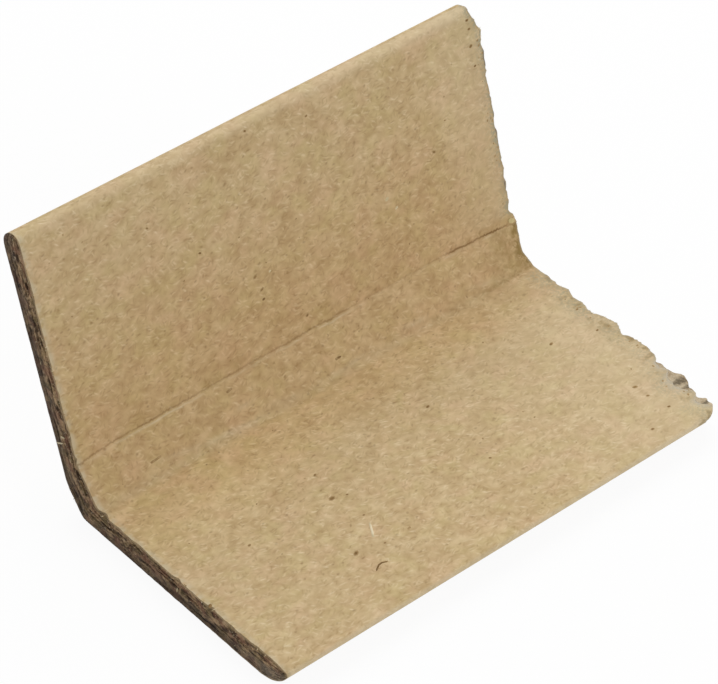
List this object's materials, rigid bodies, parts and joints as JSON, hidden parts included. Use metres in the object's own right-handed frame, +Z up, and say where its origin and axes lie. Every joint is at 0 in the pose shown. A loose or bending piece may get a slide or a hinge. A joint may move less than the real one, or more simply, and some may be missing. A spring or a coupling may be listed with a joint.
{
  "type": "pallet edge protector",
  "caption": "Folded angle of laminated kraft board with a scored crease above the corner and rounded long edges; shields a pallet load's edge from straps.",
  "frame": {"origin": "centre of the part's footprint, on the underside of the lower leg", "axes": "+X along the length from the clean cut to the torn end, +Y from the tip of the lower leg towards the upper leg, +Z up"},
  "size_m": [0.0972, 0.07, 0.0518],
  "materials": {
    "kraft_board": "matte"
  },
  "bodies": {
    "root": {"angle_board": "kraft_board"}
  },
  "joints": []
}
